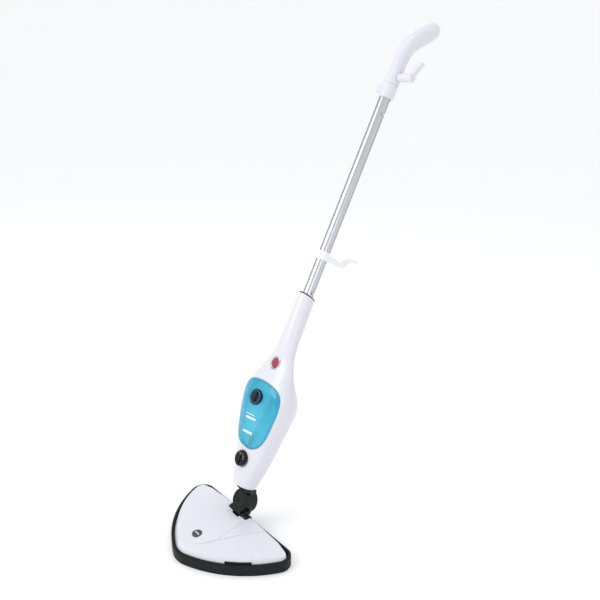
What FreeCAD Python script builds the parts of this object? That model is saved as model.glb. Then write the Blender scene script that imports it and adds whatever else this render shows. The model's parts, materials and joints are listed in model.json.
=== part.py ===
import FreeCAD, Part
import math
import os
import re

# Steam mop.  World frame: +X right, -Y front (pointed end of the head), +Z up, floor at z = 0,
# origin at the centre of the head's flat underside.  Millimetres throughout.
# The wand parts are modelled upright in a wand frame (X right, V rearwards, W up the pole) whose
# origin is the swivel joint, and are then leaned back by `lean` about X.

V3 = FreeCAD.Vector

DIMS = {
    # whole object
    "lean": 27.8, "joint_y": 66.0, "joint_z": 62.0, "tube_v": -36.4, "run_gap": 0.3,
    # head outline
    "head_half_w": 158.0, "head_rear_y": 85.5, "head_apex_y": -85.5, "corner_r": 26.0,
    "apex_r": 55.0, "side_r": 250.0,
    # base tray
    "tray_h": 22.0, "tray_floor": 5.0, "tray_wall": 6.0, "strip_depth": 2.0, "port_r": 2.5,
    # cover
    "cover_inset": 6.3, "cover_low": 17.0, "cover_high": 48.0, "cover_draft": 12.0,
    "cover_wall": 2.5, "dome_r": 785.0, "dome_top": 41.0, "dome_y": 40.0, "tongue_rise": 1.3,
    # pitch hinge
    "pin_z": 37.5, "pin_r": 4.0, "pin_half": 29.0, "ear_in": 15.5, "ear_out": 29.5, "ear_r": 8.0,
    "lug_r": 8.8, "lug_half": 14.0, "bracket_top": 37.0,
    # swivel barrel
    "barrel_r": 23.0, "barrel_w": 7.0, "barrel_front": -4.0, "barrel_back": 26.0,
    "cheek": 8.0, "roll_pin_r": 5.0,
    # tube
    "tube_r": 11.0, "tube_wall": 1.2, "tube_low": 338.0, "tube_high": 925.0,
    # controls
    "knob_w": 94.0, "knob_r": 15.5, "cap_w": 222.0, "cap_r": 16.0, "switch_w": 297.0,
    "bezel_r": 13.5, "button_r": 9.6,
    # casing
    "casing_wall": 2.5, "mouth_w": 441.0, "mouth_slant": 16.5,
    # clip and handle
    "clip_w": 530.0, "collar_low": 868.0, "collar_high": 896.5, "handle_r": 15.4,
    "hook_w": 905.5, "hook_r": 8.5, "tab_w": 888.5, "snap_low_w": 453.0, "snap_high_w": 835.0,
    "snap_r": 3.2,
}

doc = FreeCAD.newDocument("steam_mop")
sheet = doc.addObject("Spreadsheet::Sheet", "Dims")
for row, (alias, value) in enumerate(DIMS.items(), start=1):
    sheet.set("A%d" % row, alias)
    sheet.set("B%d" % row, str(value))
    sheet.setAlias("B%d" % row, alias)
doc.recompute()

ALIAS = re.compile(r"\b(" + "|".join(DIMS) + r")\b")
NODES = []


def dim(name):
    return DIMS[name]


def ref(text):
    """Expression text with every named dimension pointed at the sheet."""
    return ALIAS.sub(r"Dims.\1", str(text))


# ---------------------------------------------------------------- document helpers
def head_node(obj, label):
    obj.Label = label
    NODES.append(obj)
    return obj


def wand_node(obj, label):
    """Lean a finished wand part back about the swivel joint."""
    obj.Label = label
    obj.Placement = FreeCAD.Placement(V3(0, dim("joint_y"), dim("joint_z")),
                                      FreeCAD.Rotation(V3(-1, 0, 0), dim("lean")))
    obj.setExpression("Placement.Base.y", ref("joint_y"))
    obj.setExpression("Placement.Base.z", ref("joint_z"))
    obj.setExpression("Placement.Rotation.Angle", ref("lean"))
    NODES.append(obj)
    return obj


def head_shape(label, shape):
    obj = doc.addObject("Part::Feature", label)
    obj.Shape = shape
    obj.setExpression("Placement.Base.z", ref("0 * tray_h"))
    return head_node(obj, label)


def wand_shape(label, shape):
    obj = doc.addObject("Part::Feature", label)
    obj.Shape = shape
    return wand_node(obj, label)


AXES = {"x": FreeCAD.Rotation(V3(0, 1, 0), 90), "-x": FreeCAD.Rotation(V3(0, 1, 0), -90),
        "v": FreeCAD.Rotation(V3(1, 0, 0), -90), "-v": FreeCAD.Rotation(V3(1, 0, 0), 90),
        "w": FreeCAD.Rotation()}


def cylinder(name, radius, height, base, axis="w"):
    """Round bar starting at `base`; radius and height are expressions on the sheet."""
    obj = doc.addObject("Part::Cylinder", name)
    obj.setExpression("Radius", ref(radius))
    obj.setExpression("Height", ref(height))
    obj.Placement = FreeCAD.Placement(V3(*base), AXES[axis])
    return obj


def block(name, length, width, height, corner):
    obj = doc.addObject("Part::Box", name)
    obj.setExpression("Length", ref(length))
    obj.setExpression("Width", ref(width))
    obj.setExpression("Height", ref(height))
    obj.Placement = FreeCAD.Placement(V3(*corner), FreeCAD.Rotation())
    return obj


def fuse(name, parts):
    obj = doc.addObject("Part::MultiFuse", name)
    obj.Shapes = parts
    return obj


def cut(name, base, tool):
    obj = doc.addObject("Part::Cut", name)
    obj.Base = base
    obj.Tool = tool
    return obj


def group(name, parts):
    obj = doc.addObject("Part::Compound", name)
    obj.Links = parts
    return obj


# ---------------------------------------------------------------- shape helpers
DIRS = {"x": V3(1, 0, 0), "-x": V3(-1, 0, 0), "v": V3(0, 1, 0), "-v": V3(0, -1, 0),
        "w": V3(0, 0, 1), "-w": V3(0, 0, -1)}


def rod(radius, length, base, axis="w"):
    return Part.makeCylinder(radius, length, V3(*base), DIRS[axis])


def ring(outer, inner, length, base, axis="w"):
    return rod(outer, length, base, axis).cut(rod(inner, length, base, axis))


def bar(x0, x1, y0, y1, z0, z1):
    return Part.makeBox(abs(x1 - x0), abs(y1 - y0), abs(z1 - z0), V3(min(x0, x1), min(y0, y1), min(z0, z1)))


def join(shapes):
    return shapes[0].multiFuse(shapes[1:]).removeSplitter()


def front(value):
    """V coordinate of a point `value` in front of the tube's axis."""
    return dim("tube_v") - value


def spline_wire(points):
    curve = Part.BSplineCurve()
    curve.interpolate([V3(*p) for p in points], PeriodicFlag=True)
    return Part.Wire([curve.toShape()])


def prism(wire, direction):
    return Part.Face(wire).extrude(direction)


def sweep(points, radius):
    """Round hose along a smooth path."""
    curve = Part.BSplineCurve()
    curve.interpolate([V3(*p) for p in points])
    path = Part.Wire([curve.toShape()])
    start = V3(*points[0])
    tangent = curve.tangent(curve.FirstParameter)[0]
    profile = Part.Wire([Part.makeCircle(radius, start, tangent)])
    return path.makePipeShell([profile], True, False)


# ---------------------------------------------------------------- head outline
CORNER = V3(dim("head_half_w") - dim("corner_r"), dim("head_rear_y") - dim("corner_r"), 0)
APEX = V3(0, dim("head_apex_y") + dim("apex_r"), 0)


def side_centre():
    """Centre of the long side arc, tangent inside to the corner arc and the apex arc."""
    r1 = dim("side_r") - dim("corner_r")
    r2 = dim("side_r") - dim("apex_r")
    span = APEX.sub(CORNER)
    length = span.Length
    along = (r1 * r1 - r2 * r2 + length * length) / (2 * length)
    height = math.sqrt(r1 * r1 - along * along)
    unit = span * (1 / length)
    normal = V3(unit.y, -unit.x, 0)
    if normal.x > 0:
        normal = normal * -1
    return CORNER + unit * along + normal * height


SIDE = side_centre()


def outline(inset, z):
    """Head outline moved inwards by `inset`, as a closed wire at height z."""
    rc = dim("corner_r") - inset
    ra = dim("apex_r") - inset
    rs = dim("side_r") - inset
    to_corner = math.atan2(CORNER.y - SIDE.y, CORNER.x - SIDE.x)
    to_apex = math.atan2(APEX.y - SIDE.y, APEX.x - SIDE.x)

    def polar(centre, radius, angle, mirror):
        x = centre.x + radius * math.cos(angle)
        return V3(-x if mirror else x, centre.y + radius * math.sin(angle), z)

    def arc(centre, radius, a0, a1, mirror):
        return Part.Arc(polar(centre, radius, a0, mirror),
                        polar(centre, radius, (a0 + a1) / 2, mirror),
                        polar(centre, radius, a1, mirror)).toShape()

    top = math.pi / 2
    edges = [arc(CORNER, rc, top, to_corner, False), arc(SIDE, rs, to_corner, to_apex, False)]
    tip = Part.Arc(polar(APEX, ra, to_apex, False), polar(APEX, ra, -top, False),
                   polar(APEX, ra, to_apex, True)).toShape()
    edges.append(tip)
    edges.append(arc(SIDE, rs, to_apex, to_corner, True))
    edges.append(arc(CORNER, rc, to_corner, top, True))
    edges.append(Part.makeLine(polar(CORNER, rc, top, True), polar(CORNER, rc, top, False)))
    return Part.Wire(Part.__sortEdges__(edges))


def slab(inset, z0, z1):
    return prism(outline(inset, z0), V3(0, 0, z1 - z0))


def edge_segment(inset0, inset1, z0, z1, angle0, angle1):
    """Piece of wall following the long side between two angles about its centre."""
    r_out = dim("side_r") - inset0
    r_in = dim("side_r") - inset1
    a0 = math.radians(angle0)
    a1 = math.radians(angle1)
    reach = 1.2 * r_out
    wedge = Part.makePolygon([V3(SIDE.x, SIDE.y, z0),
                              V3(SIDE.x + reach * math.cos(a0), SIDE.y + reach * math.sin(a0), z0),
                              V3(SIDE.x + reach * math.cos(a1), SIDE.y + reach * math.sin(a1), z0),
                              V3(SIDE.x, SIDE.y, z0)])
    band = ring(r_out, r_in, z1 - z0, (SIDE.x, SIDE.y, z0))
    return band.common(prism(wedge, V3(0, 0, z1 - z0)))


def mirrored(shape):
    return shape.mirror(V3(0, 0, 0), V3(1, 0, 0))


# ---------------------------------------------------------------- head: tray, cover, small parts
NOTCH = (-48.8, -36.7)
NOTCH_TOP = 25.0
SCREW_SPOTS = [(-120.0, 62.0), (120.0, 62.0), (-95.0, 5.0), (95.0, 5.0), (-38.0, -48.0), (38.0, -48.0)]
PORTS = [(x, y) for y in (-20.0, 20.0) for x in (-60.0, -36.0, -12.0, 12.0, 36.0, 60.0)]
STRIPS = [(-110.0, -28.0, 34.0, 70.0), (28.0, 110.0, 34.0, 70.0), (-30.0, 30.0, -66.0, -34.0)]


def make_tray():
    body = slab(0, 0, dim("tray_h")).cut(slab(dim("tray_wall"), dim("tray_floor"), dim("tray_h")))
    rounded = [e for e in body.Edges if on_outer_rim(e)]
    body = body.makeFillet(1.6, rounded)
    tab = edge_segment(dim("tray_wall") - 0.2, dim("tray_wall") + 3.0, dim("tray_floor"), NOTCH_TOP, *NOTCH)
    tools = [rod(dim("port_r"), dim("tray_floor"), (x, y, 0)) for x, y in PORTS]
    for x0, x1, y0, y1 in STRIPS:
        tools.append(bar(x0, x1, y0, y1, 0, dim("strip_depth")))
    for x, y in SCREW_SPOTS:
        tools.append(rod(4.0, 2.6, (x, y, 0)))
        tools.append(rod(1.9, dim("tray_floor"), (x, y, 0)))
    return join([body, tab, mirrored(tab)]).cut(tools)


def on_outer_rim(edge):
    box = edge.BoundBox
    flat = box.ZLength < 0.01
    level = abs(box.ZMin - dim("tray_h")) < 0.01 or abs(box.ZMin) < 0.01
    if not (flat and level):
        return False
    middle = edge.valueAt((edge.FirstParameter + edge.LastParameter) / 2)
    rim = outline(0, box.ZMin)
    return rim.distToShape(Part.Vertex(middle))[0] < 0.05


def dome(extra):
    centre = V3(0, dim("dome_y"), dim("dome_top") - dim("dome_r"))
    return Part.makeSphere(dim("dome_r") + extra, centre)


def tongue_prism():
    """Raised panel running from the hinge round the pointed end."""
    nose_y = -25.0
    nose_r = 35.0
    far = (82.0, 80.0)
    span = math.hypot(far[0], far[1] - nose_y)
    turn = math.atan2(far[1] - nose_y, far[0]) - math.acos(nose_r / span)
    touch = V3(nose_r * math.cos(turn), nose_y + nose_r * math.sin(turn), 20)
    tip = V3(0, nose_y - nose_r, 20)
    left = V3(-touch.x, touch.y, 20)
    edges = [Part.makeLine(V3(-far[0], far[1], 20), left), Part.Arc(left, tip, touch).toShape(),
             Part.makeLine(touch, V3(far[0], far[1], 20)),
             Part.makeLine(V3(far[0], far[1], 20), V3(-far[0], far[1], 20))]
    return prism(Part.Wire(edges), V3(0, 0, 40))


def ridge_prism():
    pts = [V3(-42, -40, 20), V3(42, -40, 20), V3(31, 60, 20), V3(-31, 60, 20), V3(-42, -40, 20)]
    return prism(Part.makePolygon(pts), V3(0, 0, 40))


def cover_sides(extra):
    low = outline(dim("cover_inset") + extra, dim("cover_low"))
    high = outline(dim("cover_inset") + extra + dim("cover_draft"), dim("cover_high"))
    return Part.makeLoft([low, high], True, True)


def hinge_window(gap, z0, z1):
    wide = bar(-30.0 - gap, 30.0 + gap, 57.0 - gap, 95.0, z0, z1)
    nose = bar(-11.0 - gap, 11.0 + gap, 52.0 - gap, 60.0, z0, z1)
    return wide.fuse(nose)


KNUCKLE_SEAT = (-18.5, 18.5, 45.5, 70.0, 41.6, 60.0)
REAR_CUT = [(86.0, 90.0), (92.0, 76.0), (140.0, 70.5), (170.0, 62.0), (170.0, 90.0), (86.0, 90.0)]


def make_cover():
    sides = cover_sides(0)
    skin = sides.common(dome(0))
    tongue = sides.common(tongue_prism()).common(dome(dim("tongue_rise")))
    ridge = sides.common(tongue_prism()).common(ridge_prism()).common(dome(dim("tongue_rise") + 0.7))
    solid = join([skin, tongue, ridge])
    hollow = cover_sides(dim("cover_wall")).common(dome(-dim("cover_wall")))
    hollow = hollow.common(bar(-200, 200, -200, 200, dim("cover_low"), 60))
    rear_cut = prism(Part.makePolygon([V3(x, y, 0) for x, y in REAR_CUT]), V3(0, 0, 60))
    rear_wall = rear_cut.translated(V3(0, -dim("cover_wall"), 0))
    hollow = hollow.cut([rear_wall, mirrored(rear_wall)])
    cover = solid.cut(hollow)
    posts = []
    for x, y in SCREW_SPOTS:
        reach = dome(-1.0).common(rod(4.5, 40.0, (x, y, dim("tray_floor") + 0.2)))
        posts.append(reach.cut(rod(1.5, 16.0, (x, y, dim("tray_floor")))))
    cover = join([cover] + posts)
    tab_room = edge_segment(dim("tray_wall"), dim("tray_wall") + 3.3, 0, NOTCH_TOP + 0.3, NOTCH[0] - 0.1,
                            NOTCH[1] + 0.1)
    badge_room = rod(10.2, 4.0, (0, -37.0, BADGE_Z))
    return cover.cut([bar(*KNUCKLE_SEAT), hinge_window(0.4, 0, 60), tab_room, mirrored(tab_room), badge_room, rear_cut,
                      mirrored(rear_cut)])


BADGE_Z = 36.6

head_shape("base_tray", make_tray())
head_shape("top_cover", make_cover())

badge_disc = cylinder("badge_disc", "10.0", "3.2", (0, -37.0, BADGE_Z))
badge_well = block("badge_well", "13.0", "2.2", "1.0", (-6.5, -38.1, BADGE_Z + 2.6))
badge_body = cut("badge_body", badge_disc, badge_well)
head_node(badge_body, "badge")
badge_bar = block("badge_bar_block", "12.8", "2.0", "0.8", (-6.4, -38.0, BADGE_Z + 2.6))
head_node(badge_bar, "badge_bar")

strip_solids = []
for number, (sx0, sx1, sy0, sy1) in enumerate(STRIPS):
    strip_solids.append(block("strip_%d" % number, str(sx1 - sx0 - 0.6), str(sy1 - sy0 - 0.6),
                              "strip_depth - 0.4", (sx0 + 0.3, sy0 + 0.3, 0.35)))
head_node(group("strip_set", strip_solids), "hook_strips")

screw_solids = []
for number, (sx, sy) in enumerate(SCREW_SPOTS):
    screw_head = cylinder("head_screw_cap_%d" % number, "3.6", "2.2", (sx, sy, 0.3))
    screw_shank = cylinder("head_screw_shank_%d" % number, "1.4", "16.0", (sx, sy, 2.0))
    screw_solids.append(fuse("head_screw_%d" % number, [screw_head, screw_shank]))
head_node(group("head_screw_set", screw_solids), "head_screws")


SPIGOT_Z = 9.2


def make_distributor():
    """Shallow box over the steam ports, fed through a spigot under the hinge."""
    floor = dim("tray_floor")
    outer = bar(-70, 70, -28, 28, floor + 0.05, floor + 7)
    inner = bar(-67.5, 67.5, -25.5, 25.5, floor, floor + 5)
    spigot = rod(3.8, 26.8, (0, 26, SPIGOT_Z), "v").cut(rod(2.2, 27.0, (0, 25, SPIGOT_Z), "v"))
    lead = rod(2.2, 6.0, (0, 22, SPIGOT_Z), "v")
    return join([outer.cut(inner), spigot]).cut(lead)


head_shape("steam_distributor", make_distributor())


def make_bracket():
    """Hinge block with two rounded ears and a slot for the knuckle's lug."""
    floor = dim("tray_floor") + 0.1
    pin_y = dim("joint_y")
    base = bar(-dim("ear_out"), dim("ear_out"), 57.4, 78.5, floor, 24.0)
    nose = bar(-10.6, 10.6, 52.4, 58.0, floor, 24.0)
    front_block = bar(-dim("ear_out"), dim("ear_out"), 57.4, 66.0, floor, dim("bracket_top"))
    nose_top = bar(-10.6, 10.6, 52.4, 58.0, 20.0, dim("bracket_top") - 2)
    ears = []
    for x0 in (-dim("ear_out"), dim("ear_in")):
        width = dim("ear_out") - dim("ear_in")
        ears.append(rod(dim("ear_r"), width, (x0, pin_y, dim("pin_z")), "x"))
        ears.append(bar(x0, x0 + width, pin_y - dim("ear_r"), pin_y + dim("ear_r"), floor, dim("pin_z")))
    solid = join([base, nose, front_block, nose_top] + ears)
    slot = rod(dim("lug_r") + 1.2, 2 * dim("ear_in"), (-dim("ear_in"), pin_y, dim("pin_z")), "x")
    throat = bar(-dim("ear_in"), dim("ear_in"), pin_y - 10.0, 90, dim("pin_z") - 2, 80)
    rear_throat = bar(-dim("ear_in"), dim("ear_in"), pin_y, 90, 23.0, 80)
    front_scoop = rod(24.2, 40.0, (0, pin_y + 4, 65.0), "-v")
    pin_hole = rod(dim("pin_r") + 0.05, 80, (-40, pin_y, dim("pin_z")), "x")
    inlet = rod(2.2, 12.0, (0, 50.0, SPIGOT_Z), "v")
    riser = rod(2.2, 20.0, (0, 61.0, SPIGOT_Z))
    socket = rod(3.95, 3.0, (0, 50.0, SPIGOT_Z), "v")
    return solid.cut([slot, throat, rear_throat, front_scoop, pin_hole, inlet, socket, riser])


head_shape("hinge_bracket", make_bracket())

pin_bar = cylinder("pin_bar", "pin_r", "2 * pin_half", (-dim("pin_half"), dim("joint_y"), dim("pin_z")), "x")
pin_bore = cylinder("pin_bore", "pin_r / 2", "2 * pin_half - 8",
                    (-dim("pin_half") + 4, dim("joint_y"), dim("pin_z")), "x")
head_node(cut("pin_tube", pin_bar, pin_bore), "hinge_pin")

washer_solids = []
for side, x0 in (("left", -dim("ear_in") + 0.1), ("right", dim("lug_half") + 0.1)):
    disc = cylinder("washer_disc_" + side, "7.0", "ear_in - lug_half - 0.2",
                    (x0, dim("joint_y"), dim("pin_z")), "x")
    hole = cylinder("washer_hole_" + side, "pin_r + 0.06", "ear_in - lug_half - 0.2",
                    (x0, dim("joint_y"), dim("pin_z")), "x")
    washer_solids.append(cut("washer_" + side, disc, hole))
head_node(group("washer_set", washer_solids), "pitch_washers")

# ---------------------------------------------------------------- knuckle (wand frame)
LEAN = math.radians(dim("lean"))
PIN_DROP = dim("pin_z") - dim("joint_z")
PIN_V = -PIN_DROP * math.sin(LEAN)
PIN_W = PIN_DROP * math.cos(LEAN)
BW = dim("barrel_w")
DRUM_V0 = dim("barrel_front") + dim("cheek")
DRUM_V1 = dim("barrel_back") - dim("cheek")


def make_knuckle():
    r = dim("barrel_r")
    cheek = dim("cheek")
    front_cheek = rod(r, cheek, (0, dim("barrel_front"), BW), "v")
    front_cheek = front_cheek.makeChamfer(1.6, [e for e in front_cheek.Edges if e.BoundBox.YMax
                                                < dim("barrel_front") + 0.1])
    rear_cheek = rod(r, cheek, (0, DRUM_V1, BW), "v")
    rear_cheek = rear_cheek.makeChamfer(1.6, [e for e in rear_cheek.Edges if e.BoundBox.YMin
                                              > dim("barrel_back") - 0.1])
    half = dim("lug_half")
    web_top = BW - 14.0
    web = bar(-half, half, dim("barrel_front") + 0.5, dim("barrel_back") - 0.5, PIN_W + 4.0, web_top)
    web = web.common(rod(22.0, 2 * half, (-half, PIN_V, PIN_W + 9.0), "x"))
    lug = rod(dim("lug_r"), 2 * half, (-half, PIN_V, PIN_W), "x")
    neck = bar(-half, half, PIN_V - 8.0, PIN_V + 8.0, PIN_W, PIN_W + 10.0)
    solid = join([front_cheek, rear_cheek, web, lug, neck])
    drum_room = rod(r + 0.35, DRUM_V1 - DRUM_V0, (0, DRUM_V0, BW), "v")
    pin_room = rod(dim("pin_r") + 0.06, 2 * half, (-half, PIN_V, PIN_W), "x")
    axle_room = rod(dim("roll_pin_r") + 0.05, 60.0, (0, dim("barrel_front") - 5, BW), "v")
    face_groove = ring(17.2, 16.2, 1.0, (0, dim("barrel_front"), BW), "v")
    cap_seat = rod(9.2, 2.4, (0, dim("barrel_front"), BW), "v")
    rear_seat = rod(8.2, 2.4, (0, dim("barrel_back") - 2.4, BW), "v")
    washer_seats = [rod(12.2, 1.0, (0, DRUM_V0 - 1.0, BW), "v"), rod(12.2, 1.0, (0, DRUM_V1, BW), "v")]
    duct = rod(2.0, 30.0, (0, PIN_V, PIN_W + 2.0))
    duct = duct.common(bar(-5, 5, 0, 30, PIN_W, BW - 18.0))
    tools = [drum_room, pin_room, axle_room, face_groove, cap_seat, rear_seat, duct] + washer_seats
    return solid.cut(tools)


wand_shape("knuckle", make_knuckle())

cap_disc = cylinder("axle_cap_disc", "9.0", "2.0", (0, dim("barrel_front") + 0.2, BW), "v")
cap_dish = cylinder("axle_cap_dish", "5.4", "0.8", (0, dim("barrel_front") + 0.2, BW), "v")
wand_node(cut("axle_cap_body", cap_disc, cap_dish), "axle_cap")

axle_bar = cylinder("axle_bar", "roll_pin_r", "barrel_back - barrel_front - 4.2",
                    (0, dim("barrel_front") + 2.6, BW), "v")
axle_head = cylinder("axle_head", "8.0", "2.0", (0, dim("barrel_back") - 2.3, BW), "v")
axle_solid = fuse("axle_solid", [axle_bar, axle_head])
axle_bore = cylinder("axle_bore", "2.2", "16.0", (0, dim("barrel_front") + 8.0, BW), "v")
wand_node(cut("axle_tube", axle_solid, axle_bore), "roll_axle")

seal_solids = []
for side, v0 in (("front", DRUM_V0 - 0.95), ("rear", DRUM_V1 + 0.05)):
    disc = cylinder("seal_disc_" + side, "12.0", "0.9", (0, v0, BW), "v")
    hole = cylinder("seal_hole_" + side, "roll_pin_r + 0.1", "0.9", (0, v0, BW), "v")
    seal_solids.append(cut("seal_" + side, disc, hole))
wand_node(group("seal_set", seal_solids), "roll_seals")

# ---------------------------------------------------------------- swivel stem
STEM_V = -6.0
STEM_TOP = 62.0
BODY_LOW = 37.0


def make_stem():
    """Drum held between the cheeks, with a neck that plugs into the casing."""
    r = dim("barrel_r")
    gap = dim("run_gap")
    drum = rod(r, DRUM_V1 - DRUM_V0 - 2 * gap, (0, DRUM_V0 + gap, BW), "v")
    saddle = rod(16.5, 12.0, (0, 2.0, 28.0)).common(bar(-30, 30, -30, 30, 28.0, 40.0))
    saddle = saddle.fuse(bar(-15, 15, DRUM_V0 + gap, DRUM_V1 - gap, BW, 36.0))
    saddle = saddle.common(bar(-30, 30, -22, DRUM_V1 + 1.5, 0, BODY_LOW - 0.5))
    collar = rod(14.5, 4.0, (0, STEM_V, BODY_LOW - 4.4))
    plug = rod(13.6, STEM_TOP - 32.0, (0, STEM_V, 32.0))
    upper = join([saddle, collar, plug]).cut(rod(r + 0.35, 60.0, (0, -34.0, BW), "v"))
    solid = join([drum, upper, bar(-15, 15, DRUM_V0 + gap, DRUM_V1 - gap, BW, 34.0)])
    axle_room = rod(dim("roll_pin_r") + 0.06, 60.0, (0, -20, BW), "v")
    bore = rod(3.0, STEM_TOP - 40.0, (0, STEM_V, 40.0))
    link = Part.makeCylinder(2.4, 40.0, V3(0, 11.0, BW + 3.0), V3(0, STEM_V - 11.0, 42.0 - BW - 3.0))
    return solid.cut([axle_room, bore, link])


wand_shape("swivel_stem", make_stem())

# ---------------------------------------------------------------- casing: lofted body
# height up the wand, half width, reach in front of the tube axis, reach behind it, squareness
STATIONS = [
    (38.0, 25.5, -4.0, 52.5, 2.1), (60.0, 31.5, -0.5, 53.0, 2.2), (80.0, 37.0, 2.0, 52.0, 2.5),
    (105.0, 43.0, 5.0, 50.5, 2.8), (130.0, 48.5, 9.0, 48.5, 3.0), (160.0, 54.0, 15.5, 48.0, 3.0),
    (190.0, 59.5, 21.5, 49.0, 3.0), (215.0, 62.5, 25.0, 48.5, 3.0), (232.0, 62.5, 25.5, 44.5, 3.0),
    (247.0, 59.5, 24.5, 37.0, 2.9), (260.0, 54.0, 22.5, 29.5, 2.7), (275.0, 47.0, 18.5, 21.5, 2.5),
    (290.0, 40.5, 15.5, 16.0, 2.3), (305.0, 33.5, 15.0, 15.0, 2.1), (322.0, 27.0, 16.5, 15.8, 2.0),
    (345.0, 23.0, 18.0, 16.5, 2.0), (400.0, 20.0, 18.5, 17.5, 2.0), (470.0, 17.5, 17.5, 17.5, 2.0),
]
ROWS = 27


def hermite(w, column):
    """Smooth value of one station column at height w, without overshoot."""
    heights = [station[0] for station in STATIONS]
    values = [station[column] for station in STATIONS]
    slopes = [(values[i + 1] - values[i]) / (heights[i + 1] - heights[i]) for i in range(len(values) - 1)]
    tangents = [slopes[0]]
    for before, after in zip(slopes, slopes[1:]):
        same_way = before * after > 0
        tangents.append(2 * before * after / (before + after) if same_way else 0.0)
    tangents.append(slopes[-1])
    spot = max(0, min(len(slopes) - 1, sum(1 for height in heights if height <= w) - 1))
    step = heights[spot + 1] - heights[spot]
    u = (w - heights[spot]) / step
    start = (1 + 2 * u) * (1 - u) ** 2 * values[spot] + u * (1 - u) ** 2 * step * tangents[spot]
    finish = u * u * (3 - 2 * u) * values[spot + 1] + u * u * (u - 1) * step * tangents[spot + 1]
    return start + finish


AROUND = 14
SEAM_GAP = 0.12


def half_section(station, grow, w, side, overlap):
    """Points of a half section from one parting line round to the other.

    side is +1 for the front half and -1 for the rear half; overlap carries the section past the
    parting line (negative keeps clear of it).
    """
    _, half, ahead, behind, power = station
    half = half + grow
    deep = (ahead + behind) / 2 + grow
    mid = front((ahead - behind) / 2)
    points = []
    for step in range(AROUND + 1):
        turn = math.pi * step / AROUND
        radial = (abs(math.cos(turn) / half) ** power + abs(math.sin(turn) / deep) ** power) ** (-1 / power)
        x = side * radial * math.cos(turn)
        points.append(V3(x, mid - side * (radial * math.sin(turn) - overlap), w))
    return points


def half_body(grow, side, overlap=-SEAM_GAP):
    """Half of the body, grown evenly all round, closed by its parting face and two flat ends."""
    low_w = STATIONS[0][0] - grow
    high_w = STATIONS[-1][0] - grow
    grid = []
    for row in range(ROWS + 1):
        w = low_w + (high_w - low_w) * row / ROWS
        station = [w] + [hermite(w, column) for column in range(1, 5)]
        grid.append(half_section(station, grow, w, side, overlap))
    skin = Part.BSplineSurface()
    skin.interpolate(grid)
    low, high = skin.uIso(0), skin.uIso(1)
    right, left = skin.vIso(0), skin.vIso(1)
    skin_face = skin.toShape()
    parting = Part.makeRuledSurface(right.toShape(), left.toShape())
    ends = []
    for curve in (low, high):
        edge = curve.toShape()
        chord = Part.makeLine(edge.Vertexes[-1].Point, edge.Vertexes[0].Point)
        ends.append(Part.Face(Part.Wire([edge, chord])))
    solid = Part.Solid(Part.Shell([skin_face, parting] + ends))
    if solid.Volume < 0:
        solid.reverse()
    return solid


def side_prism(points, half=120.0):
    """Prism across the body from a polygon drawn in the (V, W) plane."""
    corners = [V3(-half, v, w) for v, w in points]
    return prism(Part.makePolygon(corners + corners[:1]), V3(2 * half, 0, 0))


def seam_v(w):
    """V coordinate of the parting line at height w."""
    return front((hermite(w, 2) - hermite(w, 3)) / 2)


def above_mouth(lift):
    """Everything beyond the slanted mouth of the neck."""
    rise = math.tan(math.radians(dim("mouth_slant")))
    w0 = dim("mouth_w") + lift
    return side_prism([(front(60), w0 + 60 * rise), (front(-60), w0 - 60 * rise), (front(-60), 560),
                       (front(60), 560)])


TANK_MID = 188.0
TANK_EDGE = [(0.0, 118.5), (18.0, 121.0), (31.0, 129.0), (39.5, 141.0), (45.0, 156.0), (50.0, 178.0),
             (54.0, 202.0), (55.0, 222.0), (51.5, 238.0), (42.0, 248.5), (24.0, 254.5), (0.0, 256.5)]
TANK_HALF_WIDTH = 55.0
TANK_HALF_HEIGHT = 69.0
TANK_BACK = front(-5.4)


def tank_prism(grow, v_start):
    """Tank outline seen from the front, grown evenly, from v_start forwards."""
    sx = 1 + grow / TANK_HALF_WIDTH
    sw = 1 + grow / TANK_HALF_HEIGHT
    right = [(x * sx, v_start, TANK_MID + (w - TANK_MID) * sw) for x, w in TANK_EDGE]
    left = [(-x, v, w) for x, v, w in reversed(right[1:-1])]
    return prism(spline_wire(right + left), V3(0, -80, 0))


CASING_SCREWS = [(-27.0, 72.0), (27.0, 72.0), (-50.0, 208.0), (50.0, 208.0)]
END_ROUND = 8.0


def rounded_end(solid, radius):
    low = solid.BoundBox.ZMin
    rim = [e for e in solid.Edges if e.BoundBox.ZMax < low + 0.1 and e.BoundBox.YLength > 5]
    return solid.makeFillet(radius, rim)


OUTER_FRONT = rounded_end(half_body(0, 1), END_ROUND)
OUTER_REAR = rounded_end(half_body(0, -1), END_ROUND)


def casing_half(outer, side):
    inner = rounded_end(half_body(-dim("casing_wall"), side, 1.0), END_ROUND - dim("casing_wall"))
    return outer.cut(inner)


def bosses(outer, hole_r):
    """Screw pillars inside one half of the casing, and their bores."""
    pillars = [rod(5.0, 120.0, (x, 60.0, w), "-v").common(outer) for x, w in CASING_SCREWS]
    holes = [rod(hole_r, 40.0, (x, seam_v(w) - 5.8, w), "v") for x, w in CASING_SCREWS]
    return pillars, holes


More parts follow.
